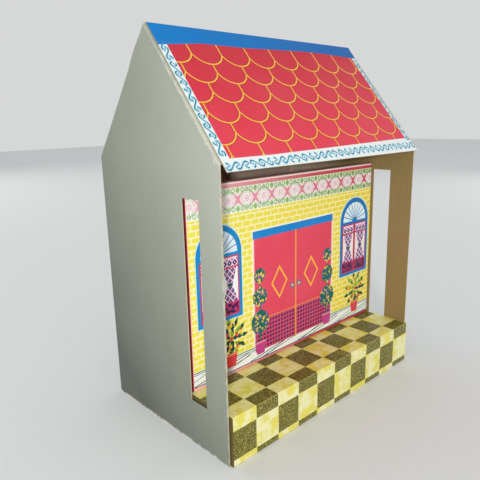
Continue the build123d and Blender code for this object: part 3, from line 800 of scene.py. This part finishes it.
flat_print("lintel blue", colour(0, 136, 210), colour(0, 126, 202), "facade_lintel")
flat_print("door trim", colour(252, 172, 74), colour(246, 158, 62), "facade_door_trim")
flat_print("grille dots", colour(64, 36, 104), colour(58, 30, 96), "facade_door_grille")

panels = Facade("door diamonds")
from_knob = reach(panels.aside - KNOB_ASIDE, panels.height - KNOB_HEIGHT)
ink = panels.mix(from_knob < 6.0, colour(255, 190, 56), colour(92, 112, 164))
panels.finish(panels.mix(from_knob < 1.6, ink, colour(250, 206, 80)), "facade_door_panels")

pots = Facade("pots")
rim = stroke(pots.height - POT_RIM, 0.8)
ink = pots.mix(pots.aside < DOOR_SIDE, colour(226, 62, 66), colour(200, 66, 140))
pots.finish(pots.mix(rim * 0.5, ink, colour(250, 214, 150)), "facade_pots")

leaves = Facade("leaves")
young = leaves.noise(7.0, 2.0).rise(0.5, 0.54)
bush = leaves.mix(young, colour(22, 68, 62), colour(140, 176, 56))
flecks = leaves.noise(3.4, 2.0).rise(0.56, 0.6)
tree = leaves.mix(flecks, colour(10, 100, 94), colour(240, 206, 60))
flowers = leaves.noise(4.0, 2.0, (1.2, 1, 0.8)).rise(0.6, 0.64)
tree = leaves.mix(flowers, tree, colour(176, 110, 178))
leaves.finish(leaves.mix(leaves.aside < DOOR_SIDE, bush, tree), "facade_leaves")

blossoms = Facade("blossoms")
heart = blossoms.noise(9.0, 1.0).rise(0.5, 0.54)
blossoms.finish(blossoms.mix(heart, colour(228, 62, 72), colour(246, 200, 66)), "facade_blossoms")

# %% [markdown]
# The plinth is covered with adhesive sheet: pale checks with yellow marbling, and dark
# olive checks that look like speckled granite. The pale checks' tops are painted brighter
# than their fronts, as painted light. The left end, in the gap at the wall, is painted
# dark brown as painted shade, and the plain carton under the sheet is brown.

# %% Plinth
SHADED_END = -149.3           # beyond it the left end is painted dark brown, as painted shade in the gap at the wall

pale_check = Paint("pale checks", Roughness=0.4, Specular_IOR_Level=0.4)
lit_top = pale_check.facing()[2].rise(0.3, 0.8)
blots = pale_check.noise(16.0, 4.0).rise(0.46, 0.58)
veins = pale_check.noise(6.0, 4.0).rise(0.5, 0.66)
# Painted light: the top faces are painted brighter than the fronts.
pale = pale_check.mix(lit_top, colour(236, 232, 176), colour(252, 246, 168))
yellow = pale_check.mix(lit_top, colour(227, 214, 74), colour(240, 228, 78))
pale = pale_check.mix(blots * 0.9, pale, yellow)
pale = pale_check.mix(veins * 0.4, pale, colour(218, 206, 88))
# Painted shade: the left end, in the gap at the wall, is dark brown.
pale = pale_check.mix(pale_check.x < SHADED_END, pale, colour(92, 78, 40))
waves = pale_check.noise(50.0, 2.0) + 0.05 * pale_check.noise(1.5, 2.0)
pale_check.look(pale, 0.4, waves, WAVE_DEPTH)
pale_check.on("plinth_cover")

dark_check = Paint("dark checks", Roughness=0.38, Specular_IOR_Level=0.4)
specks = dark_check.noise(1.7, 4.0).rise(0.46, 0.62)
sparks = dark_check.noise(1.1, 2.0).rise(0.6, 0.68)
dark = dark_check.mix(specks, colour(84, 78, 22), colour(148, 140, 54))
dark = dark_check.mix(sparks * 0.7, dark, colour(208, 202, 112))
dark_check.look(dark, 0.38, dark_check.noise(50.0, 2.0) + 0.05 * specks, WAVE_DEPTH)
dark_check.on("plinth_dark_checks")

box_card = Paint("plain carton", Roughness=0.8)
card = box_card.mix(box_card.noise(6.0, 3.0), colour(150, 125, 85), colour(130, 106, 68))
box_card.look(card).on("plinth_box")

# %% [markdown]
# A plain pale floor and soft lights. The world lights evenly, and the camera and the
# gloss see it as one pale grey. The main lamp hangs low in front, on the camera's
# line, so that its light passes under the roof's edge and reaches the inside of the
# house. Two weaker lamps fill the right side and the back.

# %% Stage and light
FLOOR_HALF = 6.0
WORLD_LIGHT = (0.95, 0.97, 1.0, 1.0)
WORLD_STRENGTH = 0.64
WORLD_SEEN = (*colour(214, 215, 215), 1.0)
HOUSE_MIDDLE = Vector((0.0, 0.0, 0.2))

floor_mesh = bpy.data.meshes.new("floor")
shape = bmesh.new()
bmesh.ops.create_grid(shape, x_segments=1, y_segments=1, size=FLOOR_HALF)
shape.to_mesh(floor_mesh)
shape.free()
floor = bpy.data.objects.new("floor", floor_mesh)
bpy.context.scene.collection.objects.link(floor)
floor_paint = Paint("pale floor", Roughness=0.9, Specular_IOR_Level=0.1)
floor_paint.look(colour(236, 236, 234))
floor_mesh.materials.append(floor_paint.material)
floor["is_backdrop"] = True

world = bpy.data.worlds.new("soft room")
world.use_nodes = True
sky = world.node_tree.nodes
wires = world.node_tree.links
lit = sky["Background"]
lit.inputs["Color"].default_value = WORLD_LIGHT
lit.inputs["Strength"].default_value = WORLD_STRENGTH
seen = sky.new("ShaderNodeBackground")
seen.inputs["Color"].default_value = WORLD_SEEN
rays = sky.new("ShaderNodeLightPath")
either = sky.new("ShaderNodeMixShader")
shown = rays.outputs["Is Camera Ray"]
for kind in ("Is Glossy Ray", "Is Transmission Ray"):
    wider = sky.new("ShaderNodeMath")
    wider.operation = "MAXIMUM"
    wires.new(shown, wider.inputs[0])
    wires.new(rays.outputs[kind], wider.inputs[1])
    shown = wider.outputs[0]
wires.new(shown, either.inputs[0])
wires.new(lit.outputs[0], either.inputs[1])
wires.new(seen.outputs[0], either.inputs[2])
wires.new(either.outputs[0], sky["World Output"].inputs["Surface"])
bpy.context.scene.world = world


def soft_lamp(name, place, size, watts):
    """A square soft lamp that looks at the house."""
    lamp = bpy.data.lights.new(name, "AREA")
    lamp.shape = "SQUARE"
    lamp.size = size
    lamp.energy = watts
    holder = bpy.data.objects.new(name, lamp)
    turn = (HOUSE_MIDDLE - Vector(place)).to_track_quat("-Z", "Y")
    holder.matrix_world = Matrix.Translation(place) @ turn.to_matrix().to_4x4()
    bpy.context.scene.collection.objects.link(holder)


soft_lamp("key lamp", (-1.27, -1.22, 0.437), size=0.1, watts=16.5)
soft_lamp("right lamp", (2.4, -0.3, 0.45), size=1.0, watts=9.0)
soft_lamp("back lamp", (-0.5, 2.8, 1.5), size=1.6, watts=16.0)
bpy.context.scene.view_settings.view_transform = "Standard"

# %% [markdown]
# The finish prints the dressed model's box beside the solids' box.

# %% Sizes and finish
boxes = {"solids": solid_box, "dressed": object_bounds()}
for name, box in boxes.items():
    print(name, [[round(c, 4) for c in corner] for corner in box])
